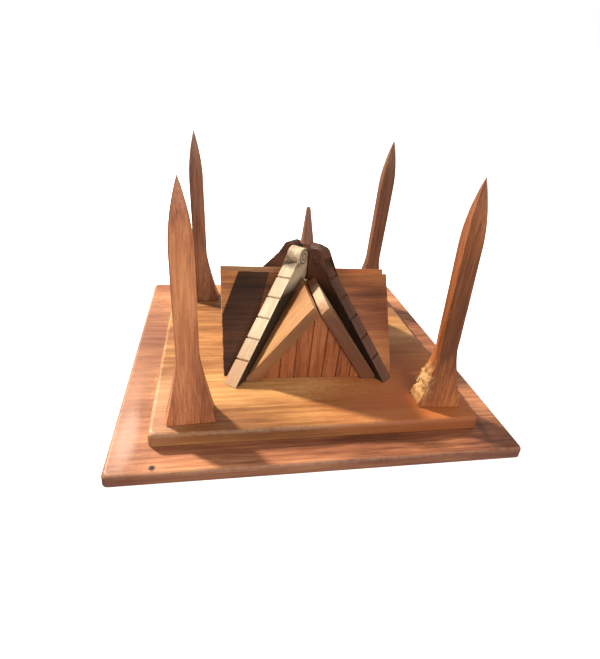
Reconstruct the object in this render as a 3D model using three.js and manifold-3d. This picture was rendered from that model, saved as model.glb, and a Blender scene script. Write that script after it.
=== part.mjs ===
// A hand-made hardwood model of a tent-roofed hall with four pencil-shaped corner towers,
// standing on a square base of two steps. Millimetres, +Z up, origin at the centre of the
// underside of the lower base. +X is to the right and -Y is the front.
import * as THREE from 'three';
import { ConvexGeometry } from 'three/addons/geometries/ConvexGeometry.js';
import { mergeVertices } from 'three/addons/utils/BufferGeometryUtils.js';
import Module from 'manifold-3d';

const wasm = await Module();
wasm.setup();

// ---------------------------------------------------------------- driving dimensions

const GAP = 0.3; // glue line or clearance between neighbouring pieces

const BASE = { side: 300, height: 9.4, edge: 3.0, corner: 4.5, x: 0, y: 0 };
const PLINTH = { side: 247.6, height: 10.8, edge: 3.2, corner: 4.5, x: -0.4, y: -2.8 };
const BASE_TOP = BASE.height;
const PLINTH_BOTTOM = BASE_TOP + GAP;
const PLINTH_TOP = PLINTH_BOTTOM + PLINTH.height;

// The hall is a cross of two gabled roofs, set a little askew on the plinth.
const HALL = {
  x: 1.5, y: 1.2, turn: -0.8, // place on the plinth, and its small twist in degrees
  ridge: 70, // height of the board corners along the ridge, above the plinth
  grooveHalf: 6.0, // half width of the open groove along the ridge
  grooveDepth: 7.2,
  boardFoot: 14, // how wide a board stands on the plinth
  peakReach: 76, // from the centre to a gable's peak
  footReach: 72.5, // from the centre to a gable's foot
};
// Half span at the plinth of the front and back wings, and of the wider left and right ones.
const NARROW_WING = 57.2;
const WIDE_WING = 64.5;

const WALL = {
  thickness: 7, recess: 3.6, // set back from the boards' edges
  kerfs: 6, kerfPitch: 12, kerfOffset: 2.8, kerfWidth: 1.0, kerfDepth: 1.6,
};

const RIB = {
  width: 12.5, depth: 15, slope: 46.9, // depth: below the face at the foot
  knobRadius: 7.5, // of the curl at the top
  kerfs: 5, kerfFirst: 17, kerfPitch: 14, kerfWidth: 1.2, kerfDepth: 1.8, kerfSkew: 8,
};

const SPIRE = {
  tipHeight: 127.5, tipRadius: 1.9, coneHeight: 95.5, coneRadius: 6.0,
  neckRadius: 3.2, neckHeight: 77, hubHeight: 73, hubRadius: 5.0, hubBottom: 63.5,
  shankRadius: 2.6, shankDepth: 18, x: 1.0, lean: -3,
};
const KING_POST = { side: 14, height: 62.5 };

const SCREW = { shankRadius: 1.6, headRadius: 3.6, headHeight: 2.6, slotWidth: 0.9, slotDepth: 0.9 };
const POST_SCREW_LENGTH = 26;
const BASE_SCREW_LENGTH = 16;
const BASE_SCREW_REACH = 82; // from the centre, along X and along Y

// Corner towers: place, twist and lean in degrees, height above the plinth, stoutness.
const TOWERS = [
  { name: 'tower_front_left', x: -95.5, y: -108.4, twist: 4, lean: -1.3, height: 169, girth: 1.12 },
  { name: 'tower_front_right', x: 96.5, y: -102.5, twist: -3, lean: -2.1, height: 176.5, girth: 0.98 },
  { name: 'tower_back_left', x: -92, y: 89, twist: 0, lean: -2.1, height: 173, girth: 0.98 },
  { name: 'tower_back_right', x: 97.5, y: 89, twist: 0, lean: 1.0, height: 177, girth: 0.98 },
];
const TOWER_FOOT = { width: 35, depth: 20 };
const TOWER_SHAFT = { width: 14, depth: 12 };
const TOWER_NECK_HEIGHT = 50; // where the flared foot has narrowed to the shaft
const TOWER_TIP_LENGTH = 46; // length of the pointed top

// ---------------------------------------------------------------- materials

const wood = (color, roughness) => new THREE.MeshStandardMaterial({ color, roughness, metalness: 0 });
const MATERIALS = {
  base: wood(0x8a4a30, 0.45),
  plinth: wood(0xb06a38, 0.42),
  tower: wood(0x86492c, 0.5),
  board: wood(0xa9683a, 0.48),
  wall: wood(0x8c4a28, 0.5),
  rib: wood(0xa9764c, 0.48),
  spire: wood(0x8f5a44, 0.45),
  core: wood(0xa37a52, 0.7),
  steel: new THREE.MeshStandardMaterial({ color: 0x9a9a98, roughness: 0.35, metalness: 1 }),
};

const part = new THREE.Group();
const hall = new THREE.Group();
hall.position.set(HALL.x, HALL.y, PLINTH_TOP);
hall.rotation.z = THREE.MathUtils.degToRad(HALL.turn);
part.add(hall);

function addPiece(parent, name, geometry, material) {
  const mesh = new THREE.Mesh(geometry, material);
  mesh.name = name;
  parent.add(mesh);
  return mesh;
}

// ---------------------------------------------------------------- solids: joining and cutting

function toSolid(geometry) {
  const plain = geometry.clone();
  plain.deleteAttribute('normal');
  plain.deleteAttribute('uv');
  const merged = mergeVertices(plain, 1e-4);
  return new wasm.Manifold(new wasm.Mesh({
    numProp: 3,
    vertProperties: new Float32Array(merged.attributes.position.array),
    triVerts: new Uint32Array(merged.index.array),
  }));
}

function toGeometry(solid) {
  const mesh = solid.getMesh();
  const geometry = new THREE.BufferGeometry();
  geometry.setAttribute('position', new THREE.BufferAttribute(mesh.vertProperties, 3));
  geometry.setIndex(new THREE.BufferAttribute(mesh.triVerts, 1));
  geometry.computeVertexNormals();
  return geometry;
}

function cut(geometry, cutters) {
  const body = cutters.reduce((solid, cutter) => solid.subtract(toSolid(cutter)), toSolid(geometry));
  return toGeometry(body);
}

// A closed skin over a stack of rings of points, all with the same count, lowest ring first.
function loft(rings) {
  const count = rings[0].length;
  const points = rings.flat();
  const faces = [];
  for (let level = 0; level < rings.length - 1; level += 1) {
    for (let i = 0; i < count; i += 1) {
      const next = (i + 1) % count;
      const a = level * count + i;
      const b = level * count + next;
      faces.push(a, b, b + count, a, b + count, a + count);
    }
  }
  const top = (rings.length - 1) * count;
  for (let i = 1; i < count - 1; i += 1) {
    faces.push(0, i + 1, i);
    faces.push(top, top + i, top + i + 1);
  }
  const geometry = new THREE.BufferGeometry().setFromPoints(points);
  geometry.setIndex(faces);
  return geometry;
}

// ---------------------------------------------------------------- base and plinth

// Square outline with round corners, centred on Z.
function squareRing(side, corner, z) {
  const shape = new THREE.Shape();
  const half = side / 2;
  shape.absarc(half - corner, half - corner, corner, 0, Math.PI / 2);
  shape.absarc(corner - half, half - corner, corner, Math.PI / 2, Math.PI);
  shape.absarc(corner - half, corner - half, corner, Math.PI, 1.5 * Math.PI);
  shape.absarc(half - corner, corner - half, corner, 1.5 * Math.PI, 2 * Math.PI);
  const points = shape.getPoints(4);
  points.pop();
  return points.map((p) => new THREE.Vector3(p.x, p.y, z));
}

// A board with its top edge rounded over, and its lower edge just eased.
function roundedBoard({ side, height, edge, corner, x, y }) {
  const easing = 0.6;
  const rings = [
    squareRing(side - 2 * easing, corner, 0),
    squareRing(side, corner, easing),
  ];
  const steps = 4;
  for (let i = 0; i <= steps; i += 1) {
    const angle = (i / steps) * (Math.PI / 2);
    const inset = edge * (1 - Math.cos(angle));
    rings.push(squareRing(side - 2 * inset, corner, height - edge + edge * Math.sin(angle)));
  }
  return loft(rings).translate(x, y, 0);
}

// ---------------------------------------------------------------- wood screws

// Profile of a countersunk wood screw pointing up, its flat head at z = 0.
function screwProfile(length, clearance) {
  const { shankRadius, headRadius, headHeight } = SCREW;
  const point = 3;
  return [
    [0, -clearance],
    [headRadius + clearance, -clearance],
    [headRadius + clearance, 0.6],
    [shankRadius + clearance, headHeight + clearance],
    [shankRadius + clearance, length - point],
    [0, length + clearance],
  ].map(([r, z]) => new THREE.Vector2(r, z));
}

// LatheGeometry turns about Y, so the solid is stood up along Z.
function turned(profile, sides) {
  return new THREE.LatheGeometry(profile, sides).rotateX(Math.PI / 2);
}

function screwGeometry(length) {
  const body = turned(screwProfile(length, 0), 16);
  const slot = new THREE.BoxGeometry(2.2 * SCREW.headRadius, SCREW.slotWidth, 2 * SCREW.slotDepth);
  return cut(body, [slot]);
}

function screwHole(length, x, y, z) {
  return turned(screwProfile(length, GAP), 16).translate(x, y, z);
}

const baseScrewSpots = [[-1, -1], [1, -1], [-1, 1], [1, 1]].map(([sx, sy], i) => ({
  name: `base_screw_${i + 1}`,
  x: sx * BASE_SCREW_REACH,
  y: sy * BASE_SCREW_REACH,
  z: 0.5,
}));

function baseScrewHoles() {
  return baseScrewSpots.map(({ x, y, z }) => screwHole(BASE_SCREW_LENGTH, x, y, z));
}

function towerScrewHoles() {
  return TOWERS.map(({ x, y }) => screwHole(POST_SCREW_LENGTH, x, y, PLINTH_BOTTOM + GAP));
}

function makeBase() {
  const board = roundedBoard(BASE);
  addPiece(part, 'lower_base', cut(board, baseScrewHoles()), MATERIALS.base);
}

function makePlinth() {
  const board = roundedBoard(PLINTH).translate(0, 0, PLINTH_BOTTOM);
  const geometry = cut(board, [...baseScrewHoles(), ...towerScrewHoles()]);
  addPiece(part, 'upper_plinth', geometry, MATERIALS.plinth);
}

function makeScrews() {
  for (const { name, x, y, z } of baseScrewSpots) {
    addPiece(part, name, screwGeometry(BASE_SCREW_LENGTH), MATERIALS.steel).position.set(x, y, z);
  }
  TOWERS.forEach(({ x, y }, i) => {
    const screw = addPiece(part, `tower_screw_${i + 1}`, screwGeometry(POST_SCREW_LENGTH), MATERIALS.steel);
    screw.position.set(x, y, PLINTH_BOTTOM + GAP);
  });
}

// ---------------------------------------------------------------- corner towers

// Rectangular ring with its four arrises eased, at the given height.
function towerRing(width, depth, z) {
  const ease = Math.min(1.0, width * 0.08);
  const w = width / 2;
  const d = depth / 2;
  return [
    [w, -d + ease], [w, d - ease], [w - ease, d], [-w + ease, d],
    [-w, d - ease], [-w, -d + ease], [-w + ease, -d], [w - ease, -d],
  ].map(([x, y]) => new THREE.Vector3(x, y, z));
}

// Width and depth at a height: a flared foot, a nearly even shaft, and a bulging point.
function towerSection(z, height, girth) {
  const flare = Math.max(0, 1 - z / TOWER_NECK_HEIGHT) ** 1.25;
  const toTip = Math.min(1, (height - z) / TOWER_TIP_LENGTH);
  const point = Math.sin(toTip * Math.PI / 2) ** 0.85;
  const shaftWidth = TOWER_SHAFT.width * girth;
  const shaftDepth = TOWER_SHAFT.depth * girth;
  return {
    width: (shaftWidth + (TOWER_FOOT.width - shaftWidth) * flare) * point,
    depth: (shaftDepth + (TOWER_FOOT.depth - shaftDepth) * flare) * point,
  };
}

function towerGeometry({ height, girth }) {
  const rings = [];
  const footSteps = 8;
  for (let i = 0; i <= footSteps; i += 1) {
    rings.push((i / footSteps) * TOWER_NECK_HEIGHT);
  }
  const tipStart = height - TOWER_TIP_LENGTH;
  rings.push((TOWER_NECK_HEIGHT + tipStart) / 2);
  const tipSteps = 10;
  for (let i = 0; i <= tipSteps; i += 1) {
    rings.push(tipStart + (i / tipSteps) * (TOWER_TIP_LENGTH - 0.4));
  }
  return loft(rings.map((z) => {
    const { width, depth } = towerSection(z, height, girth);
    return towerRing(width, depth, z);
  }));
}

function makeTowers() {
  for (const tower of TOWERS) {
    const { name, x, y, twist, lean } = tower;
    const sideways = Math.tan(THREE.MathUtils.degToRad(lean));
    const body = towerGeometry(tower);
    body.rotateZ(THREE.MathUtils.degToRad(twist));
    body.applyMatrix4(new THREE.Matrix4().makeShear(0, 0, 0, 0, sideways, 0));
    body.translate(x, y, PLINTH_TOP + GAP);
    const hole = screwHole(POST_SCREW_LENGTH, x, y, PLINTH_BOTTOM + GAP);
    addPiece(part, name, cut(body, [hole]), MATERIALS.tower);
  }
}

// ---------------------------------------------------------------- hall: roof boards and walls

const GROOVE_BOTTOM = HALL.ridge - HALL.grooveDepth;

// Plan angle of the ribs from the X axis: they run down the valleys between the wings.
const RIB_ANGLE = Math.atan2(WIDE_WING - HALL.grooveHalf, NARROW_WING - HALL.grooveHalf);
const WINGS = [
  { wing: 'front', footHalf: NARROW_WING, valley: RIB_ANGLE },
  { wing: 'right', footHalf: WIDE_WING, valley: Math.PI / 2 - RIB_ANGLE },
  { wing: 'back', footHalf: NARROW_WING, valley: RIB_ANGLE },
  { wing: 'left', footHalf: WIDE_WING, valley: Math.PI / 2 - RIB_ANGLE },
];

function planeThrough(a, b, c) {
  return new THREE.Plane().setFromCoplanarPoints(a, b, c);
}

// The point shared by three planes, or null when they have none.
function planesMeet(p, q, r) {
  const qr = q.normal.clone().cross(r.normal);
  const rp = r.normal.clone().cross(p.normal);
  const pq = p.normal.clone().cross(q.normal);
  const volume = p.normal.dot(qr);
  if (Math.abs(volume) < 1e-6) {
    return null;
  }
  const point = qr.multiplyScalar(-p.constant);
  point.addScaledVector(rp, -q.constant).addScaledVector(pq, -r.constant);
  return point.divideScalar(volume);
}

// Corners of the convex solid that the planes enclose round a point inside it.
function cornersWithin(planes, inside) {
  const faces = planes.map((plane) => (plane.distanceToPoint(inside) > 0 ? plane.clone().negate() : plane));
  const corners = [];
  for (let i = 0; i < faces.length; i += 1) {
    for (let j = i + 1; j < faces.length; j += 1) {
      for (let k = j + 1; k < faces.length; k += 1) {
        const corner = planesMeet(faces[i], faces[j], faces[k]);
        if (corner && faces.every((face) => face.distanceToPoint(corner) < 1e-6)) {
          corners.push(corner);
        }
      }
    }
  }
  return corners;
}

// Limits of a front wing's right-hand board: x > 0, its ridge along Y towards the front.
// It stops against the side of the rib that runs down the valley.
function boardPlanes({ footHalf, valley }) {
  const v = (x, y, z) => new THREE.Vector3(x, y, z);
  const ridgeOut = v(HALL.grooveHalf, 0, HALL.ridge);
  const ridgeIn = v(GAP / 2, 0, GROOVE_BOTTOM);
  const ridgeInFront = v(GAP / 2, -1, GROOVE_BOTTOM);
  const peak = v(0, -HALL.peakReach, HALL.ridge);
  return {
    outer: planeThrough(ridgeOut, v(HALL.grooveHalf, -1, HALL.ridge), v(footHalf, 0, 0)),
    inner: planeThrough(ridgeIn, ridgeInFront, v(footHalf - HALL.boardFoot, 0, 0)),
    groove: planeThrough(ridgeIn, ridgeInFront, ridgeOut),
    gable: planeThrough(peak, v(1, -HALL.peakReach, HALL.ridge), v(0, -HALL.footReach, 0)),
    foot: new THREE.Plane(v(0, 0, 1), -GAP),
    valley: new THREE.Plane(v(Math.sin(valley), Math.cos(valley), 0), RIB.width / 2 + GAP),
  };
}

// side is 1 for the board at x > 0, and -1 for its reflection.
function boardGeometry(wing, side) {
  const middleX = (wing.footHalf - HALL.boardFoot / 2 + HALL.grooveHalf / 2) / 2;
  const inside = new THREE.Vector3(middleX, -0.95 * HALL.footReach, HALL.ridge / 2);
  const corners = cornersWithin(Object.values(boardPlanes(wing)), inside);
  return new ConvexGeometry(corners.map((p) => p.setX(side * p.x)));
}

// A triangular wall between the boards, set back from their edges and leaning with them,
// with upright saw kerfs in its face.
function wallGeometry(wing) {
  const v = (x, y, z) => new THREE.Vector3(x, y, z);
  const tilt = Math.atan2(HALL.peakReach - HALL.footReach, HALL.ridge);
  const footY = -HALL.footReach + WALL.recess;
  const outward = v(0, -Math.cos(tilt), -Math.sin(tilt));
  const front = new THREE.Plane().setFromNormalAndCoplanarPoint(outward, v(0, footY, 0));
  const back = new THREE.Plane(outward, front.constant + WALL.thickness);
  const board = boardPlanes(wing).inner;
  const upward = Math.sign(board.normal.z);
  const right = new THREE.Plane(board.normal.clone().multiplyScalar(upward), upward * board.constant + GAP);
  const left = new THREE.Plane(v(-right.normal.x, 0, right.normal.z), right.constant);
  const foot = new THREE.Plane(v(0, 0, 1), -GAP);
  const inside = v(0, footY + WALL.thickness / 2, HALL.ridge / 4);
  const corners = cornersWithin([front, back, right, left, foot], inside);
  const kerfs = [];
  for (let i = 0; i < WALL.kerfs; i += 1) {
    const kerf = new THREE.BoxGeometry(WALL.kerfWidth, 2 * WALL.kerfDepth, 2 * HALL.ridge);
    kerf.rotateX(tilt);
    kerf.translate((i - (WALL.kerfs - 1) / 2) * WALL.kerfPitch + WALL.kerfOffset, footY, 0);
    kerfs.push(kerf);
  }
  return cut(new ConvexGeometry(corners), kerfs);
}

function makeRoof() {
  WINGS.forEach((wing, i) => {
    const pieces = [
      addPiece(hall, `roof_board_${wing.wing}_a`, boardGeometry(wing, 1), MATERIALS.board),
      addPiece(hall, `roof_board_${wing.wing}_b`, boardGeometry(wing, -1), MATERIALS.board),
      addPiece(hall, `gable_wall_${wing.wing}`, wallGeometry(wing), MATERIALS.wall),
    ];
    for (const piece of pieces) {
      piece.rotation.z = i * Math.PI / 2;
    }
  });
}

// ---------------------------------------------------------------- hall: corner ribs

// A rib's underside is as steep as the valley it fills, and its face a little steeper.
const VALLEY_RUN = Math.hypot(NARROW_WING - HALL.grooveHalf, WIDE_WING - HALL.grooveHalf);
const VALLEY_SLOPE = Math.atan2(HALL.ridge, VALLEY_RUN);
const RIB_SLOPE = THREE.MathUtils.degToRad(RIB.slope);

// Reach of a rib's face from the hall's centre line, at a height above the plinth.
function ribReach(footReach, z) {
  return footReach - z / Math.tan(RIB_SLOPE);
}

// The four ribs leave a small well round the spire, and each ends in a round outward curl.
const WELL_REACH = (RIB.width / 2) * Math.tan(RIB_ANGLE) + 2 * GAP;

function ribOutline({ footReach, knobHeight }) {
  const { knobRadius } = RIB;
  const knobReach = WELL_REACH + knobRadius;
  const neckAngle = THREE.MathUtils.degToRad(-36);
  const neckHeight = knobHeight + knobRadius * Math.sin(neckAngle);
  const ledgeHeight = neckHeight - 2.5;
  const innerFoot = footReach - RIB.depth / Math.sin(RIB_SLOPE);
  const innerTop = (innerFoot - WELL_REACH) * Math.tan(VALLEY_SLOPE);
  const shape = new THREE.Shape();
  shape.moveTo(ribReach(footReach, GAP), GAP);
  shape.lineTo(ribReach(footReach, ledgeHeight), ledgeHeight);
  shape.lineTo(knobReach + knobRadius * Math.cos(neckAngle), neckHeight);
  shape.absarc(knobReach, knobHeight, knobRadius, neckAngle, Math.PI);
  shape.lineTo(WELL_REACH, innerTop);
  shape.lineTo(innerFoot, GAP);
  shape.closePath();
  return shape;
}

// Extruded along the rib's width, then stood up so that the outline lies in the XZ plane.
function extrudedAcross(shape, width, curveSegments) {
  const geometry = new THREE.ExtrudeGeometry(shape, { depth: width, bevelEnabled: false, curveSegments });
  return geometry.translate(0, 0, -width / 2).rotateX(Math.PI / 2);
}

function ribGeometry(rib) {
  const bar = extrudedAcross(ribOutline(rib), RIB.width, 14);
  const kerfs = [];
  for (let i = 0; i < RIB.kerfs; i += 1) {
    const z = RIB.kerfFirst + i * RIB.kerfPitch;
    const kerf = new THREE.BoxGeometry(2 * RIB.kerfDepth, RIB.width * 1.2, RIB.kerfWidth);
    kerf.rotateX(THREE.MathUtils.degToRad(RIB.kerfSkew));
    kerf.rotateY(RIB_SLOPE - Math.PI / 2);
    kerf.translate(ribReach(rib.footReach, z), 0, z);
    kerfs.push(kerf);
  }
  return cut(bar, kerfs);
}

// footReach: from the hall's centre line to the rib's face at the plinth.
const RIBS = [
  { name: 'rib_front_right', angle: -RIB_ANGLE, footReach: 100, knobHeight: 88 },
  { name: 'rib_back_right', angle: RIB_ANGLE, footReach: 102, knobHeight: 84 },
  { name: 'rib_back_left', angle: Math.PI - RIB_ANGLE, footReach: 103, knobHeight: 86 },
  { name: 'rib_front_left', angle: Math.PI + RIB_ANGLE, footReach: 103.5, knobHeight: 88 },
];

function makeRibs() {
  for (const rib of RIBS) {
    addPiece(hall, rib.name, ribGeometry(rib), MATERIALS.rib).rotation.z = rib.angle;
  }
}

// ---------------------------------------------------------------- spire and the post it stands in

// The spire and its bore lean a little, about the height of the hub.
function leant(geometry) {
  const middle = (SPIRE.hubBottom + SPIRE.hubHeight) / 2;
  geometry.translate(0, 0, -middle).rotateY(THREE.MathUtils.degToRad(SPIRE.lean));
  return geometry.translate(SPIRE.x, 0, middle);
}

// A turned spire: a blunt cone, a thin neck, a round hub, and a shank below it.
function makeSpire() {
  const t = SPIRE;
  const profile = new THREE.Path();
  profile.moveTo(0, t.hubBottom - t.shankDepth);
  profile.lineTo(t.shankRadius, t.hubBottom - t.shankDepth);
  profile.lineTo(t.shankRadius, t.hubBottom + 0.6);
  profile.quadraticCurveTo(t.hubRadius, t.hubBottom + 2, t.hubRadius, t.hubHeight);
  profile.quadraticCurveTo(t.hubRadius, t.neckHeight, t.neckRadius, t.neckHeight);
  profile.lineTo(t.neckRadius, t.coneHeight - 1.5);
  profile.lineTo(t.coneRadius, t.coneHeight);
  profile.lineTo(t.tipRadius, t.tipHeight - 1.2);
  profile.quadraticCurveTo(t.tipRadius, t.tipHeight, 0, t.tipHeight);
  addPiece(hall, 'spire', leant(turned(profile.getPoints(5), 28)), MATERIALS.spire);
}

// A square post under the ridge crossing, bored for the spire's shank.
function makeKingPost() {
  const { side, height } = KING_POST;
  const post = new THREE.BoxGeometry(side, side, height - GAP).translate(0, 0, (height + GAP) / 2);
  const boreTop = SPIRE.hubBottom + GAP;
  const boreBottom = SPIRE.hubBottom - SPIRE.shankDepth - GAP;
  const boreRadius = SPIRE.shankRadius + GAP;
  const bore = new THREE.CylinderGeometry(boreRadius, boreRadius, boreTop - boreBottom, 20);
  bore.rotateX(Math.PI / 2).translate(0, 0, (boreTop + boreBottom) / 2);
  addPiece(hall, 'king_post', cut(post, [leant(bore)]), MATERIALS.core);
}

makeBase();
makePlinth();
makeScrews();
makeTowers();
makeRoof();
makeRibs();
makeSpire();
makeKingPost();

export default part;
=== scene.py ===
"""Looks for the hardwood model of a tent-roofed hall with four corner towers.

Every wooden piece is a softened, hand-worked copy of its CAD node, with its own procedural wood.
Metres, +Z up, the front is -Y.
"""

import math

import bmesh
import bpy
from mathutils import Matrix, Vector, noise


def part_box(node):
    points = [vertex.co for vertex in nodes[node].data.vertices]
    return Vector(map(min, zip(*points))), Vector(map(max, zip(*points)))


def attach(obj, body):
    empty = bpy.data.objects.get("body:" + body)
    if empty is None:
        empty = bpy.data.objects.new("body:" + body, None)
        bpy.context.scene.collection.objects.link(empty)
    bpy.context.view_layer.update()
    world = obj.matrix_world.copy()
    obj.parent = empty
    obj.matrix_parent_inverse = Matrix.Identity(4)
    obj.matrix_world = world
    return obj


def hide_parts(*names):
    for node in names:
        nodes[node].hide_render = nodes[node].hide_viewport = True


MM = 0.001
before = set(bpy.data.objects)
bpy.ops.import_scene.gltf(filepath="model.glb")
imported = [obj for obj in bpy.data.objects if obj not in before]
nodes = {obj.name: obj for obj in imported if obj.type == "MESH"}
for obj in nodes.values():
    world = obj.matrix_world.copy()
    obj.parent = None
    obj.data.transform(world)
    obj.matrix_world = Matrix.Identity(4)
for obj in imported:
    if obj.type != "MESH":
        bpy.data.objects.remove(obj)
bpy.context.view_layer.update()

# ---------------------------------------------------------------- camera

CAMERA_PLACE = Vector((-0.0787, -0.3635, 0.2369))
CAMERA_HEADING = math.radians(12.22)  # from +Y towards +X
CAMERA_PITCH = math.radians(26.38)  # below the horizon
CAMERA_ROLL = math.radians(5.45)
LENS_MM = 24.04
SHIFT_Y = -0.0334


def make_camera():
    """A wide-angle camera held close and a little tilted, looking down at the front."""
    data = bpy.data.cameras.new("camera")
    data.sensor_width = 36
    data.lens = LENS_MM
    data.shift_y = SHIFT_Y
    data.clip_start = 0.01
    camera = bpy.data.objects.new("camera", data)
    forward = Vector((
        math.sin(CAMERA_HEADING) * math.cos(CAMERA_PITCH),
        math.cos(CAMERA_HEADING) * math.cos(CAMERA_PITCH),
        -math.sin(CAMERA_PITCH),
    ))
    level = forward.to_track_quat("-Z", "Y").to_matrix().to_4x4()
    roll = Matrix.Rotation(CAMERA_ROLL, 4, "Z")
    camera.matrix_world = Matrix.Translation(CAMERA_PLACE) @ level @ roll
    bpy.context.scene.collection.objects.link(camera)
    bpy.context.scene.camera = camera


# ---------------------------------------------------------------- floor and light

FLOOR_REACH = 6.0
FLOOR_GLOW = 0.8
WHITE_BEHIND = 1.0  # the surround as the camera sees it
SURROUND = 0.42  # the surround as a light
LIT_PLACE = (0, 0, 0.06)
WARM = (1.0, 0.92, 0.80)
NEAR_WHITE = (1.0, 0.96, 0.92)


def make_floor():
    """A white floor that glows a little, so that it stays white around the soft shadow."""
    mesh = bpy.data.meshes.new("floor")
    edge = FLOOR_REACH
    corners = [(-edge, -edge, 0), (edge, -edge, 0), (edge, edge, 0), (-edge, edge, 0)]
    mesh.from_pydata(corners, [], [(0, 1, 2, 3)])
    floor = bpy.data.objects.new("floor", mesh)
    bpy.context.scene.collection.objects.link(floor)
    material = bpy.data.materials.new("floor_white")
    material.use_nodes = True
    shader = material.node_tree.nodes["Principled BSDF"]
    shader.inputs["Base Color"].default_value = (0.85, 0.85, 0.85, 1)
    shader.inputs["Roughness"].default_value = 0.85
    shader.inputs["Emission Color"].default_value = (1, 1, 1, 1)
    shader.inputs["Emission Strength"].default_value = FLOOR_GLOW
    mesh.materials.append(material)
    floor.visible_diffuse = False
    floor.visible_glossy = False


def make_lamp(name, place, size, power, color):
    """A square soft light, pointed at the model."""
    data = bpy.data.lights.new(name, "AREA")
    data.size = size
    data.energy = power
    data.color = color
    lamp = bpy.data.objects.new(name, data)
    lamp.location = place
    lamp.rotation_euler = (Vector(LIT_PLACE) - Vector(place)).to_track_quat("-Z", "Y").to_euler()
    bpy.context.scene.collection.objects.link(lamp)


def make_lights():
    """A warm key from the left and behind, a weak fill from the front, and a white surround."""
    make_lamp("key", (-0.92, 0.72, 0.98), size=0.12, power=48, color=WARM)
    make_lamp("fill", (0.25, -1.5, 0.8), size=0.9, power=14, color=NEAR_WHITE)
    world = bpy.data.worlds.new("surround")
    world.use_nodes = True
    tree = world.node_tree
    background = tree.nodes["Background"]
    background.inputs["Color"].default_value = (1, 1, 1, 1)
    rays = tree.nodes.new("ShaderNodeLightPath")
    level = tree.nodes.new("ShaderNodeMapRange")
    level.inputs["To Min"].default_value = SURROUND
    level.inputs["To Max"].default_value = WHITE_BEHIND
    tree.links.new(rays.outputs["Is Camera Ray"], level.inputs["Value"])
    tree.links.new(level.outputs["Result"], background.inputs["Strength"])
    bpy.context.scene.world = world
    bpy.context.scene.view_settings.view_transform = "Standard"


# ---------------------------------------------------------------- materials

class Graph:
    """A small helper for building one material's node tree."""

    def __init__(self, name):
        self.material = bpy.data.materials.new(name)
        self.material.use_nodes = True
        self.tree = self.material.node_tree
        self.shader = self.tree.nodes["Principled BSDF"]

    def feed(self, socket, value):
        if isinstance(value, bpy.types.NodeSocket):
            self.tree.links.new(value, socket)
        else:
            socket.default_value = value

    def add(self, kind, inputs=None, **settings):
        node = self.tree.nodes.new(kind)
        for key, value in settings.items():
            setattr(node, key, value)
        for key, value in (inputs or {}).items():
            self.feed(node.inputs[key], value)
        return node

    def math(self, operation, a, b=0.0, clamp=False):
        node = self.add("ShaderNodeMath", {0: a, 1: b}, operation=operation, use_clamp=clamp)
        return node.outputs[0]

    def noise(self, vector, scale, detail=3.0, roughness=0.55):
        inputs = {"Vector": vector, "Scale": scale, "Detail": detail, "Roughness": roughness}
        return self.add("ShaderNodeTexNoise", inputs).outputs["Fac"]

    def span(self, value, low, high):
        """Maps low..high to 0..1, clamped."""
        inputs = {"Value": value, "From Min": low, "From Max": high}
        return self.add("ShaderNodeMapRange", inputs).outputs["Result"]

    def stretch(self, vector, scale):
        return self.add("ShaderNodeMapping", {"Vector": vector, "Scale": scale}).outputs[0]

    def grained(self, along, scale, stretch, detail=4.0, roughness=0.55):
        """Noise drawn out along the grain."""
        return self.noise(self.stretch(along, (1, 1, stretch)), scale, detail, roughness)

    def ramp(self, value, places, colors):
        """A color for each value: the given colors stand at the given places."""
        node = self.add("ShaderNodeValToRGB", {"Fac": value})
        band = node.color_ramp.elements
        while len(band) < len(colors):
            band.new(0.5)
        for element, place, color in zip(band, places, colors):
            element.position = place
            element.color = (*color, 1)
        return node.outputs["Color"]

    def blend(self, factor, below, above):
        """Lays a color, or a color socket, over the color below it."""
        if not isinstance(above, bpy.types.NodeSocket):
            above = (*above, 1)
        node = self.add("ShaderNodeMix", data_type="RGBA")
        self.feed(node.inputs[0], factor)
        self.feed(node.inputs[6], below)
        self.feed(node.inputs[7], above)
        return node.outputs[2]

    def vector_math(self, operation, a, b):
        return self.add("ShaderNodeVectorMath", {0: a, 1: b}, operation=operation).outputs[0]

    def dot(self, a, b):
        return self.add("ShaderNodeVectorMath", {0: a, 1: b}, operation="DOT_PRODUCT").outputs["Value"]

    def length(self, vector):
        return self.add("ShaderNodeVectorMath", {0: vector}, operation="LENGTH").outputs["Value"]

    def patch(self, place, centre, reach):
        """1 at a centre, falling to 0 at the given reach along X, Y and Z."""
        away = self.vector_math("SUBTRACT", place, centre)
        return self.math("SUBTRACT", 1.0, self.length(self.vector_math("DIVIDE", away, reach)), clamp=True)

    def past(self, place, point, direction):
        """0 before the plane through a point, 1 past it, with a soft edge of a millimetre."""
        distance = self.dot(self.vector_math("SUBTRACT", place, point), direction)
        return self.span(distance, -0.5 * MM, 0.5 * MM)


# Every measure of place in the materials is in metres, in the model's frame.
TONES = (0.26, 0.43, 0.58, 0.76)  # where a look's four colors stand on its figure
FIBRE_SHARE = 0.50
FIBRE_ROUGHNESS = 0.22
DRIFT_SHARE = 0.48
PATCH_EDGE = (0.12, 0.62)
PATCH_RAGGEDNESS = 0.8
PATCH_ROUGHNESS = 0.22
# Faces turned one way are darkened below this height: partly staining, partly painted shade.
STAIN_AND_SHADE_TOP = 0.080
STAIN_AND_SHADE_FADE = 0.012
# The curl rings are painted shade, for the shaded grooves of the ribs' carved curls.
CURL_RINGS = (0.0028, 0.0060)
CURL_GROOVE_SHADE = (0.035, 0.016, 0.009)
CURL_STRENGTH = 0.85
# In every look, arrises and rims are painted paler: partly rubbed wood, partly a painted highlight.
COMMON_LOOK = dict(
    rings=60, ring_share=0.07, pores=0.5, streaks=0.35, wear_and_highlight=0.45, roughness=0.30, varnish=0.06, shine=0.35,
)


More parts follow.
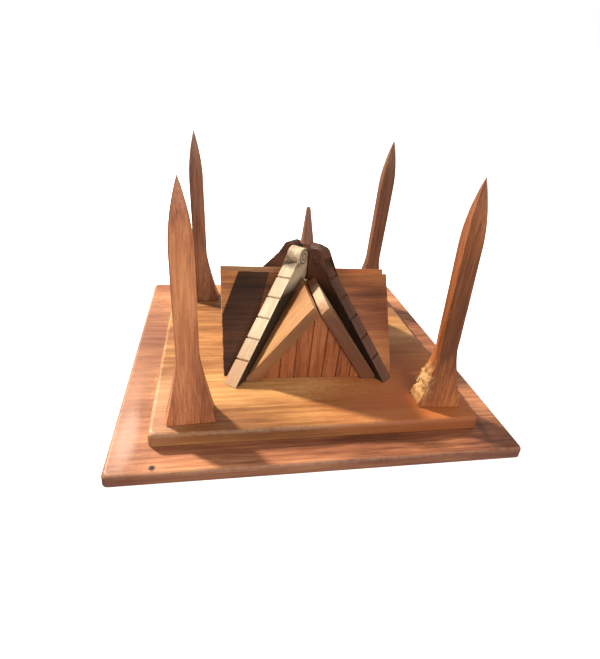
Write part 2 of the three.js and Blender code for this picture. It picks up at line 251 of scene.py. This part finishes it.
def tinted(look, tint):
    """A look with its colors multiplied by a tint."""
    result = dict(look)
    result["colors"] = [[c * t for c, t in zip(color, tint)] for color in look["colors"]]
    for key in ("pore_color", "streak_color", "worn_and_lit_color"):
        result[key] = [c * t for c, t in zip(look[key], tint)]
    return result


def grain_turn(direction):
    """The rotation that stands the grain direction up along Z."""
    return Vector(direction).rotation_difference(Vector((0, 0, 1))).to_euler()


def pith_place(seed):
    """Where the middle of the rings lies beside a piece, so that no two pieces look the same."""
    return Vector((0.045 + 0.013 * (seed % 5), 0.03 - 0.017 * (seed % 3), 0.21 * seed))


def growth_rings(g, along, look):
    """Rings round a pith that lies along the grain, wavering like real growth."""
    inputs = {
        "Vector": g.stretch(along, (1, 1, 0.10)),
        "Scale": look["rings"],
        "Distortion": 7.0,
        "Detail": 4.0,
        "Detail Scale": 0.6,
        "Detail Roughness": 0.6,
    }
    rings = g.add("ShaderNodeTexWave", inputs, wave_type="RINGS", rings_direction="Z", wave_profile="SIN")
    return rings.outputs["Fac"]


def wood_figure(g, along, fibre, look):
    """The light and dark of the wood: rings, fibres and a slow drift of tone."""
    drift = g.span(g.grained(along, scale=26, stretch=0.22), 0.3, 0.7)
    figure = g.math("MULTIPLY", growth_rings(g, along, look), look["ring_share"])
    figure = g.math("ADD", figure, g.math("MULTIPLY", fibre, FIBRE_SHARE))
    return g.math("ADD", figure, g.math("MULTIPLY", drift, DRIFT_SHARE))


def streak_mask(g, along, look):
    streak = g.span(g.grained(along, scale=150, stretch=0.05), 0.56, 0.72)
    return g.math("MULTIPLY", streak, look["streaks"])


# Paler arrises and rims: partly rubbed wood, partly a painted highlight where they catch the light.
def wear_and_highlight_mask(g, breakup, look):
    worn_and_lit = g.add("ShaderNodeAttribute", attribute_name="wear_and_highlight").outputs["Fac"]
    worn_and_lit = g.math("MULTIPLY", worn_and_lit, g.span(breakup, 0.40, 0.62))
    return g.math("MULTIPLY", worn_and_lit, look["wear_and_highlight"])


def patch_mask(g, place, breakup, centre, reach, strength):
    """A patch with a ragged edge."""
    ragged = g.math("MULTIPLY", g.math("SUBTRACT", breakup, 0.5), PATCH_RAGGEDNESS)
    mask = g.math("ADD", g.patch(place, centre, reach), ragged)
    return g.math("MULTIPLY", g.span(mask, *PATCH_EDGE), strength)


def stain_and_shade_mask(g, place, direction, strength):
    """The faces turned in a direction, below the height where the darkening fades out; the darkening is
    partly staining, partly painted shade.
    """
    facing = g.dot(g.add("ShaderNodeNewGeometry").outputs["True Normal"], direction)
    height = g.add("ShaderNodeSeparateXYZ", {0: place}).outputs["Z"]
    low = g.span(height, STAIN_AND_SHADE_TOP + STAIN_AND_SHADE_FADE, STAIN_AND_SHADE_TOP)
    return g.math("MULTIPLY", g.math("MULTIPLY", g.span(facing, 0.45, 0.75), low), strength)


def curl_groove_shade_mask(g, place, centre, axis):
    """Two dark rings of painted shade round an axis, for the shaded grooves of a curl carved in relief."""
    away = g.vector_math("SUBTRACT", place, centre)
    radius = g.length(g.vector_math("CROSS_PRODUCT", away, axis))
    rings = 0.0
    for ring in CURL_RINGS:
        off = g.math("ABSOLUTE", g.math("SUBTRACT", radius, ring))
        rings = g.math("ADD", rings, g.span(off, 0.8 * MM, 0.3 * MM))
    return g.math("MINIMUM", rings, CURL_STRENGTH)


def varnish_and_relief(g, look, fibre, pores):
    """A thin varnish over fine relief along the grain."""
    g.shader.inputs["Coat Weight"].default_value = look["varnish"]
    g.shader.inputs["Coat Roughness"].default_value = 0.28
    g.shader.inputs["Specular IOR Level"].default_value = look["shine"]
    height = g.math("SUBTRACT", g.math("MULTIPLY", fibre, 0.5), g.math("MULTIPLY", pores, 0.6))
    bump = g.add("ShaderNodeBump", {"Height": height, "Strength": 0.35, "Distance": 0.35 * MM})
    g.feed(g.shader.inputs["Normal"], bump.outputs[0])


def wood(name, look, grain, seed, patches=(), beyond=(), stain_and_shade=None, curl=None):
    """Varnished hardwood, with streaks, pores, paler rubbed arrises that are also a painted highlight, and
    marks in given places, some of them painted shade, some a painted sheen.

    patches are (centre, reach, color, strength).
    beyond holds (point, direction, colors): past that plane the wood takes those colors.
    The darkening for faces turned one way is (direction, color, strength): low faces turned that way are
    darkened, partly staining, partly painted shade.
    curl is (centre, direction) of the axis that a curled end is carved round.
    """
    look = {**COMMON_LOOK, **look}
    g = Graph(name)
    place = g.add("ShaderNodeTexCoord").outputs["Object"]
    turned = {"Vector": place, "Rotation": grain_turn(grain), "Location": pith_place(seed)}
    along = g.add("ShaderNodeMapping", turned).outputs[0]
    fibre = g.grained(along, scale=900, stretch=0.035, roughness=0.65)
    pores = g.span(g.grained(along, scale=2600, stretch=0.045, detail=2.0, roughness=0.5), 0.60, 0.70)
    breakup = g.noise(place, scale=240, detail=4.0, roughness=0.65)

    figure = wood_figure(g, along, fibre, look)
    color = g.ramp(figure, TONES, look["colors"])
    for point, direction, colors in beyond:
        color = g.blend(g.past(place, point, direction), color, g.ramp(figure, TONES, colors))
    color = g.blend(g.math("MULTIPLY", pores, look["pores"]), color, look["pore_color"])
    color = g.blend(streak_mask(g, along, look), color, look["streak_color"])
    color = g.blend(wear_and_highlight_mask(g, breakup, look), color, look["worn_and_lit_color"])

    rough = g.math("ADD", g.math("MULTIPLY", fibre, FIBRE_ROUGHNESS), look["roughness"])
    for centre, reach, patch_color, strength in patches:
        mask = patch_mask(g, place, breakup, centre, reach, strength)
        color = g.blend(mask, color, patch_color)
        rough = g.math("ADD", rough, g.math("MULTIPLY", mask, PATCH_ROUGHNESS))
    if stain_and_shade:
        direction, stain_and_shade_color, strength = stain_and_shade
        color = g.blend(stain_and_shade_mask(g, place, direction, strength), color, stain_and_shade_color)
    if curl:
        color = g.blend(curl_groove_shade_mask(g, place, *curl), color, CURL_GROOVE_SHADE)

    g.feed(g.shader.inputs["Base Color"], color)
    g.feed(g.shader.inputs["Roughness"], rough)
    varnish_and_relief(g, look, fibre, pores)
    return g.material


LOOKS = {
    "base": dict(
        colors=((0.133, 0.044, 0.02), (0.297, 0.104, 0.047), (0.487, 0.196, 0.087), (0.721, 0.338, 0.156)),
        pore_color=(0.079, 0.028, 0.014),
        streak_color=(0.173, 0.05, 0.025),
        worn_and_lit_color=(0.784, 0.475, 0.283),
        wear_and_highlight=0.18,
    ),
    "plinth": dict(
        colors=((0.189, 0.07, 0.022), (0.378, 0.161, 0.053), (0.556, 0.27, 0.092), (0.715, 0.394, 0.15)),
        pore_color=(0.13, 0.046, 0.017),
        streak_color=(0.258, 0.104, 0.038),
        # the plinth's rim is painted bright: partly rubbed wood, partly a painted highlight where it
        # catches the key light
        worn_and_lit_color=(0.85, 0.50, 0.24),
        wear_and_highlight=0.2, streaks=0.3,
    ),
    "tower": dict(
        colors=((0.086, 0.022, 0.008), (0.207, 0.056, 0.02), (0.345, 0.104, 0.037), (0.529, 0.189, 0.068)),
        pore_color=(0.046, 0.012, 0.005),
        streak_color=(0.081, 0.018, 0.007),
        worn_and_lit_color=(0.483, 0.189, 0.082),
        rings=70, ring_share=0.04, streaks=0.5, wear_and_highlight=0.3,
    ),
    "board": dict(
        colors=((0.106, 0.035, 0.014), (0.212, 0.083, 0.033), (0.312, 0.139, 0.056), (0.412, 0.213, 0.098)),
        pore_color=(0.069, 0.024, 0.011),
        streak_color=(0.138, 0.047, 0.021),
        worn_and_lit_color=(0.387, 0.237, 0.136),
    ),
    "red_board": dict(
        colors=((0.129, 0.032, 0.009), (0.267, 0.074, 0.019), (0.407, 0.131, 0.033), (0.556, 0.207, 0.055)),
        pore_color=(0.076, 0.02, 0.006),
        streak_color=(0.14, 0.036, 0.01),
        worn_and_lit_color=(0.535, 0.243, 0.082),
    ),
    "dark_board": dict(
        colors=((0.02, 0.008, 0.004), (0.037, 0.014, 0.007), (0.062, 0.024, 0.01), (0.106, 0.038, 0.016)),
        pore_color=(0.015, 0.006, 0.003),
        streak_color=(0.022, 0.009, 0.004),
        worn_and_lit_color=(0.775, 0.357, 0.168),
        wear_and_highlight=0.7, varnish=0.0, shine=0.15,
    ),
    "wall": dict(
        colors=((0.109, 0.029, 0.01), (0.24, 0.066, 0.024), (0.37, 0.119, 0.041), (0.523, 0.188, 0.07)),
        pore_color=(0.054, 0.014, 0.006),
        streak_color=(0.098, 0.025, 0.01),
        worn_and_lit_color=(0.435, 0.179, 0.082),
        streaks=0.45,
    ),
    "rib": dict(
        colors=((0.235, 0.144, 0.081), (0.412, 0.282, 0.168), (0.588, 0.451, 0.291), (0.745, 0.652, 0.465)),
        pore_color=(0.196, 0.113, 0.065),
        streak_color=(0.314, 0.188, 0.109),
        worn_and_lit_color=(0.784, 0.752, 0.611),
        rings=80, streaks=0.25, pores=0.35,
    ),
    "brown_rib": dict(
        colors=((0.04, 0.012, 0.006), (0.076, 0.025, 0.012), (0.115, 0.042, 0.02), (0.166, 0.069, 0.035)),
        pore_color=(0.025, 0.007, 0.004),
        streak_color=(0.044, 0.012, 0.006),
        worn_and_lit_color=(0.224, 0.111, 0.066),
        rings=80, streaks=0.3,
    ),
    "spire": dict(
        colors=((0.086, 0.03, 0.017), (0.158, 0.061, 0.036), (0.23, 0.096, 0.059), (0.317, 0.149, 0.095)),
        pore_color=(0.058, 0.02, 0.011),
        streak_color=(0.101, 0.034, 0.019),
        worn_and_lit_color=(0.346, 0.18, 0.112),
        rings=110, streaks=0.3,
    ),
    "core": dict(
        colors=((0.30, 0.17, 0.085), (0.42, 0.26, 0.14), (0.52, 0.34, 0.19), (0.62, 0.44, 0.27)),
        pore_color=(0.26, 0.14, 0.07),
        streak_color=(0.34, 0.19, 0.10),
        worn_and_lit_color=(0.6, 0.44, 0.28),
        roughness=0.55, varnish=0.0,
    ),
}


def steel(name):
    """Plain turned steel with fine machining lines and a little tarnish."""
    g = Graph(name)
    place = g.add("ShaderNodeTexCoord").outputs["Object"]
    lines = g.grained(place, scale=1800, stretch=6, detail=2.0)
    tarnish = g.noise(place, scale=380)
    color = g.ramp(tarnish, (0.3, 0.7), ((0.20, 0.19, 0.18), (0.50, 0.49, 0.47)))
    g.feed(g.shader.inputs["Base Color"], color)
    g.shader.inputs["Metallic"].default_value = 1.0
    g.feed(g.shader.inputs["Roughness"], g.span(lines, -0.6, 2.4))
    bump = g.add("ShaderNodeBump", {"Height": lines, "Strength": 0.2, "Distance": 0.1 * MM})
    g.feed(g.shader.inputs["Normal"], bump.outputs[0])
    return g.material


# ---------------------------------------------------------------- softened, hand-worked pieces

SHARP = math.radians(28)
SHADED_SHARP = math.radians(32)
NEARLY_FLAT = math.radians(0.6)
SAME_PLACE = 0.02 * MM
RIM_FACING_UP = (0.1, 0.95)
STROKES = Vector((95, 95, 26))  # how often the surface turns in a metre, across and along the grain
RIPPLES = Vector((260, 260, 120))
STROKE_SHARE = 0.42
RIPPLE_SHARE = 0.14


def mark_worn_and_lit(bm, faces):
    wear_and_highlight = bm.loops.layers.float.new("wear_and_highlight")
    for face in faces:
        for loop in face.loops:
            loop[wear_and_highlight] = 1.0


def bevelled(mesh, width):
    """Rounds the sharp arrises and marks the new narrow faces for the paler rubbed colour, which is also a
    painted highlight.
    """
    bm = bmesh.new()
    bm.from_mesh(mesh)
    bmesh.ops.remove_doubles(bm, verts=bm.verts, dist=SAME_PLACE)
    bmesh.ops.dissolve_limit(bm, angle_limit=NEARLY_FLAT, verts=bm.verts, edges=bm.edges)
    sharp = [e for e in bm.edges if len(e.link_faces) == 2 and e.calc_face_angle() > SHARP]
    made = bmesh.ops.bevel(
        bm, geom=sharp, offset=width, segments=3, profile=0.5, affect="EDGES", clamp_overlap=True,
    )
    mark_worn_and_lit(bm, made["faces"])
    bm.to_mesh(mesh)
    bm.free()


def rounded_already(mesh):
    """Marks the rounded rim of a board whose CAD node has it already, for the paler rubbed colour, which is
    also a painted highlight.
    """
    bm = bmesh.new()
    bm.from_mesh(mesh)
    bmesh.ops.remove_doubles(bm, verts=bm.verts, dist=SAME_PLACE)
    least, most = RIM_FACING_UP
    mark_worn_and_lit(bm, [face for face in bm.faces if least < face.normal.z < most])
    bm.to_mesh(mesh)
    bm.free()


def refined(obj, levels):
    """Splits every face evenly, so that the surface can be worked."""
    if levels == 0:
        return
    splitter = obj.modifiers.new("split", "SUBSURF")
    splitter.subdivision_type = "SIMPLE"
    splitter.levels = levels
    graph = bpy.context.evaluated_depsgraph_get()
    mesh = bpy.data.meshes.new_from_object(obj.evaluated_get(graph))
    obj.modifiers.clear()
    obj.data = mesh


def hand_worked(mesh, grain, depth, seed):
    """Moves the surface inward by about half the depth, in long shallow strokes along the grain."""
    turn = Vector(grain).rotation_difference(Vector((0, 0, 1))).to_matrix()
    shift = Vector((seed * 3.1, seed * 1.7, seed * 2.3))
    places = []
    for vertex in mesh.vertices:
        p = turn @ vertex.co
        stroke = noise.noise(p * STROKES + shift)
        ripple = noise.noise(p * RIPPLES + shift)
        move = max(0.0, 0.5 + STROKE_SHARE * stroke + RIPPLE_SHARE * ripple)
        places.extend(vertex.co - vertex.normal * (depth * move))
    mesh.vertices.foreach_set("co", places)
    mesh.update()


def make_piece(node, material, grain, bevel=0.5, levels=2, depth=0.3, seed=1):
    """A softened copy of a CAD node, shown in its place. The bevel and the depth are in millimetres."""
    mesh = nodes[node].data.copy()
    mesh.name = f"{node}_wood"
    obj = bpy.data.objects.new(f"{node}_wood", mesh)
    bpy.context.scene.collection.objects.link(obj)
    if bevel:
        bevelled(mesh, bevel * MM)
    else:
        rounded_already(mesh)
    refined(obj, levels)
    if depth:
        hand_worked(obj.data, grain, depth * MM, seed)
    obj.data.materials.clear()
    obj.data.materials.append(material)
    obj.data.polygons.foreach_set("use_smooth", [True] * len(obj.data.polygons))
    obj.data.set_sharp_from_angle(angle=SHADED_SHARP)
    obj.modifiers.new("even_shading", "WEIGHTED_NORMAL").keep_sharp = True
    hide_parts(node)
    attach(obj, "root")
    return obj


ALONG_X = (1, 0, 0)
UP_TO_RIDGE = (0.051, 0, 0.070)
UPRIGHT = (0, 0, 1)
TO_FRONT = (0, -1, 0)


def middle_of(node):
    low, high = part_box(node)
    return (Vector(low) + Vector(high)) / 2


# Pale rubbed wood, with a painted sheen in it.
PALE = (0.50, 0.27, 0.18)
PALEST = (0.60, 0.43, 0.35)
# Painted shade: dark, beside the plinth's right side and at its front-right corner.
PAINTED_SHADE = (0.050, 0.020, 0.012)
PLUG = (0.030, 0.012, 0.008)
DEEP_BROWN = (0.15, 0.052, 0.028)
# A deeper orange at the plinth's front right: partly the polish, partly painted shade.
DEEP_ORANGE_PARTLY_SHADE = (0.46, 0.125, 0.032)
# On the base: a deeper-colored left side, pale rubbed places under a painted sheen, a strip of painted
# shade beside the plinth, and a dark plug.
BASE_PATCHES = (
    ((-0.140, 0.000, 0.0094), (0.030, 0.220, 0.02), DEEP_BROWN, 0.55),
    ((-0.143, -0.100, 0.0094), (0.012, 0.080, 0.02), PALE, 0.45),
    ((-0.139, -0.115, 0.0094), (0.010, 0.040, 0.02), PALEST, 0.40),
    ((0.128, -0.060, 0.0094), (0.007, 0.110, 0.01), PAINTED_SHADE, 0.7),
    ((-0.119, -0.145, 0.0094), (0.0032, 0.0032, 0.01), PLUG, 1.0),
)
# On the plinth: a pale rubbed place under a painted sheen, painted shade at the front-right corner, and a
# deeper orange at the front right that is partly painted shade.
PLINTH_PATCHES = (
    ((-0.115, -0.100, 0.0205), (0.020, 0.060, 0.02), PALE, 0.4),
    ((0.124, -0.124, 0.0120), (0.016, 0.022, 0.014), PAINTED_SHADE, 0.85),
    ((0.105, -0.100, 0.0205), (0.140, 0.120, 0.06), DEEP_ORANGE_PARTLY_SHADE, 0.85),
)
# The low front faces are darkened: partly staining, partly painted shade.
BASE_FRONT = (TO_FRONT, (0.14, 0.045, 0.026), 0.45)
PLINTH_FRONT = (TO_FRONT, (0.20, 0.070, 0.028), 0.40)


def make_board_below(node, look, seed, patches, front):
    """A board that is rounded in CAD already, and keeps its exact shape."""
    material = wood(f"{node}_wood", look, ALONG_X, seed, patches, stain_and_shade=front)
    make_piece(node, material, ALONG_X, bevel=0, levels=0, depth=0, seed=seed)


def make_boards_below():
    """The lower base and the plinth, with rubbed places under a painted sheen, painted shade along the
    plinth's right side and at its front-right corner, and deeper-colored places, one of them partly painted
    shade.
    """
    make_board_below("lower_base", LOOKS["base"], 1, BASE_PATCHES, BASE_FRONT)
    make_board_below("upper_plinth", LOOKS["plinth"], 2, PLINTH_PATCHES, PLINTH_FRONT)


TOWER_TINTS = {
    "front_left": (1.52, 1.72, 1.90),
    "front_right": (1.80, 2.05, 1.75),
    "back_left": (0.98, 1.38, 1.90),
    "back_right": (0.60, 0.72, 0.78),
}
TORN_PLACE = Vector((0.0775, -0.0950, 0.0400))
TORN_REACH = Vector((0.013, 0.022, 0.026))
TORN_PALE = (0.62, 0.38, 0.15)
TORN_CRACKS = (
    (0, -0.004, 0.009), (0, 0.006, 0.004), (0, 0.001, -0.004), (0, -0.008, -0.002), (0, 0.009, -0.011),
)
TEAR_STEEPNESS = 2.2
TEAR_RISE = 0.6 * MM
SPLINTER_SIZE = 3.0 * MM
CHIP_SIZE = 1.2 * MM
SPLINTERS = Vector((420, 420, 230))  # how often in a metre
CHIPS = Vector((900, 900, 700))
CRACK_REACH = Vector((0.012, 0.0022, 0.0065))
CRACK_COLOR = (0.045, 0.018, 0.008)


def tear(mesh):
    """Roughens the inner side of the front-right tower's foot, where the wood has torn."""
    places = []
    for vertex in mesh.vertices:
        away = vertex.co - TORN_PLACE
        away = Vector((away.x / TORN_REACH.x, away.y / TORN_REACH.y, away.z / TORN_REACH.z))
        amount = min(1.0, TEAR_STEEPNESS * max(0.0, 1.0 - away.length))
        splinter = noise.noise(vertex.co * SPLINTERS)
        chip = noise.noise(vertex.co * CHIPS)
        move = TEAR_RISE + SPLINTER_SIZE * splinter + CHIP_SIZE * chip
        places.extend(vertex.co + vertex.normal * (amount * move))
    mesh.vertices.foreach_set("co", places)
    mesh.update()


def torn_patches():
    """Pale bare wood on the torn place, with dark cracks across it."""
    patches = [(TORN_PLACE, TORN_REACH * 1.15, TORN_PALE, 0.95)]
    for crack in TORN_CRACKS:
        patches.append((TORN_PLACE + Vector(crack), CRACK_REACH, CRACK_COLOR, 0.9))
    return patches


def make_towers():
    """The four corner towers, each carved a little differently; one has a torn foot."""
    for seed, (corner, tint) in enumerate(TOWER_TINTS.items(), start=3):
        node = f"tower_{corner}"
        torn = corner == "front_right"
        patches = torn_patches() if torn else ()
        levels = 3 if torn else 2
        material = wood(f"{node}_look", tinted(LOOKS["tower"], tint), UPRIGHT, seed, patches)
        tower = make_piece(node, material, UPRIGHT, levels=levels, depth=0.55, seed=seed)
        if torn:
            tear(tower.data)


BOARD_LOOKS = {
    "roof_board_front_a": "board",
    "roof_board_front_b": "board",
    "roof_board_right_a": "red_board",
    "roof_board_right_b": "red_board",
    "roof_board_back_a": "board",
    "roof_board_back_b": "red_board",
    "roof_board_left_a": "dark_board",
    "roof_board_left_b": "board",
}

# Pale wood beside the ridge on the front wing's right board: partly paler wood, partly a painted highlight.
PALE_END_AND_HIGHLIGHT = ((0.008, -0.047, 0.084), (0.014, 0.027, 0.022), (0.55, 0.36, 0.22), 1.0)
BOARD_PATCHES = {"roof_board_front_a": (PALE_END_AND_HIGHLIGHT,)}
BOARD_TINTS = {"roof_board_front_b": (1.18, 1.16, 0.98)}
# The front gable edges are darkened: partly staining, partly painted shade.
GABLE_EDGE_STAIN_AND_SHADE = {
    "roof_board_front_a": (TO_FRONT, (0.13, 0.050, 0.026), 0.75),
    "roof_board_front_b": (TO_FRONT, (0.22, 0.090, 0.042), 0.65),
}
# The left wing's front board is dark between two sharp limits: reddish past the one, less dark past the
# other.
REDDISH_CORNER_COLORS = tinted(LOOKS["red_board"], (1.45, 1.95, 2.60))["colors"]
LESS_DARK_STRIP_COLORS = tinted(LOOKS["dark_board"], (3.0, 3.0, 3.0))["colors"]
DARK_BOARD_LIMITS = (
    (Vector((-0.0590, -0.0046, 0.0897)), Vector((-0.939, 0.221, 0.263)), REDDISH_CORNER_COLORS),
    (Vector((-0.0314, -0.0040, 0.0909)), Vector((0.965, -0.170, -0.202)), LESS_DARK_STRIP_COLORS),
)
BOARD_LIMITS = {"roof_board_left_a": DARK_BOARD_LIMITS}


def board_grain(node):
    """Up the slope on the front and back wings, along the ridge on the others."""
    if "front" not in node and "back" not in node:
        return ALONG_X
    x, y, z = UP_TO_RIDGE
    return (x, y, z) if middle_of(node).x < 0 else (-x, y, z)


def make_roof_boards():
    for seed, (node, look) in enumerate(BOARD_LOOKS.items(), start=7):
        grain = board_grain(node)
        tint = BOARD_TINTS.get(node, (1, 1, 1))
        material = wood(
            f"{node}_look", tinted(LOOKS[look], tint), grain, seed,
            patches=BOARD_PATCHES.get(node, ()),
            beyond=BOARD_LIMITS.get(node, ()),
            stain_and_shade=GABLE_EDGE_STAIN_AND_SHADE.get(node),
        )
        make_piece(node, material, grain, bevel=0.6, levels=3, depth=0.35, seed=seed)


def make_gable_walls():
    for seed, wing in enumerate(("front", "right", "back", "left"), start=15):
        node = f"gable_wall_{wing}"
        material = wood(f"{node}_look", LOOKS["wall"], UPRIGHT, seed)
        make_piece(node, material, UPRIGHT, bevel=0.15, levels=1, depth=0.1, seed=seed)


RIB_LOOKS = {
    "rib_front_left": "rib",
    "rib_front_right": "brown_rib",
    "rib_back_left": "brown_rib",
    "rib_back_right": "brown_rib",
}
RIB_FALL = 1.07  # for each metre outward
RIB_SIDE_COLOR = (0.022, 0.011, 0.006)  # a stain that partly stands for shadow
RIB_SIDE_STRENGTH = 0.95
KNOB_REACH = 0.0140  # from the middle of the hall
KNOB_HEIGHT = 0.1080
NOTCH_REACH = 0.0225
NOTCH_HEIGHT = 0.1020
NOTCH_SIZE = (0.012, 0.012, 0.0042)
# Painted shade in the notch under each curl.
NOTCH_SHADE_COLOR = (0.06, 0.028, 0.014)
BROWNER_FOOT_HEIGHT = 0.020
BROWNER_FOOT_SIZE = (0.07, 0.07, 0.05)
BROWNER_FOOT_COLOR = (0.46, 0.25, 0.13)


def hall_place(outward, reach, height):
    """The place at a reach from the middle of the hall, and at a height above the table."""
    place = middle_of("king_post") + outward * reach
    place.z = height
    return place


def make_rib(node, look, seed):
    """A rib with the grain running down it, a dark side that is partly painted shade, painted shade in the
    notch under its carved curl, and in the curl's grooves.
    """
    outward = middle_of(node) - middle_of("king_post")
    outward = Vector((outward.x, outward.y, 0)).normalized()
    grain = outward - Vector((0, 0, RIB_FALL))
    sideways = Vector((-outward.y, outward.x, 0))
    if sideways.y > 0:
        sideways = -sideways
    notch = hall_place(outward, NOTCH_REACH, NOTCH_HEIGHT)
    patches = [(notch, NOTCH_SIZE, NOTCH_SHADE_COLOR, 0.8)]
    if look == "rib":
        corner = Vector(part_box(node)[0])
        foot = (corner.x, corner.y, BROWNER_FOOT_HEIGHT)
        patches.append((foot, BROWNER_FOOT_SIZE, BROWNER_FOOT_COLOR, 0.7))
    material = wood(
        f"{node}_look", LOOKS[look], grain, seed, patches,
        stain_and_shade=(sideways, RIB_SIDE_COLOR, RIB_SIDE_STRENGTH),
        curl=(hall_place(outward, KNOB_REACH, KNOB_HEIGHT), sideways),
    )
    make_piece(node, material, grain, bevel=0.45, levels=1, depth=0.3, seed=seed)


def make_ribs():
    for seed, (node, look) in enumerate(RIB_LOOKS.items(), start=19):
        make_rib(node, look, seed)


def give_material(node, material):
    """Shows a CAD node as it is, in a given material."""
    nodes[node].data.materials.clear()
    nodes[node].data.materials.append(material)


def make_small_parts():
    """The turned spire, the hidden post and the screws."""
    material = wood("spire_look", LOOKS["spire"], UPRIGHT, 23)
    make_piece("spire", material, UPRIGHT, bevel=0.35, levels=1, depth=0.15, seed=23)
    give_material("king_post", wood("king_post_look", LOOKS["core"], UPRIGHT, 24))
    metal = steel("screw_look")
    for node in nodes:
        if "screw" in node:
            give_material(node, metal)


make_camera()
make_floor()
make_lights()
make_boards_below()
make_towers()
make_roof_boards()
make_gable_walls()
make_ribs()
make_small_parts()
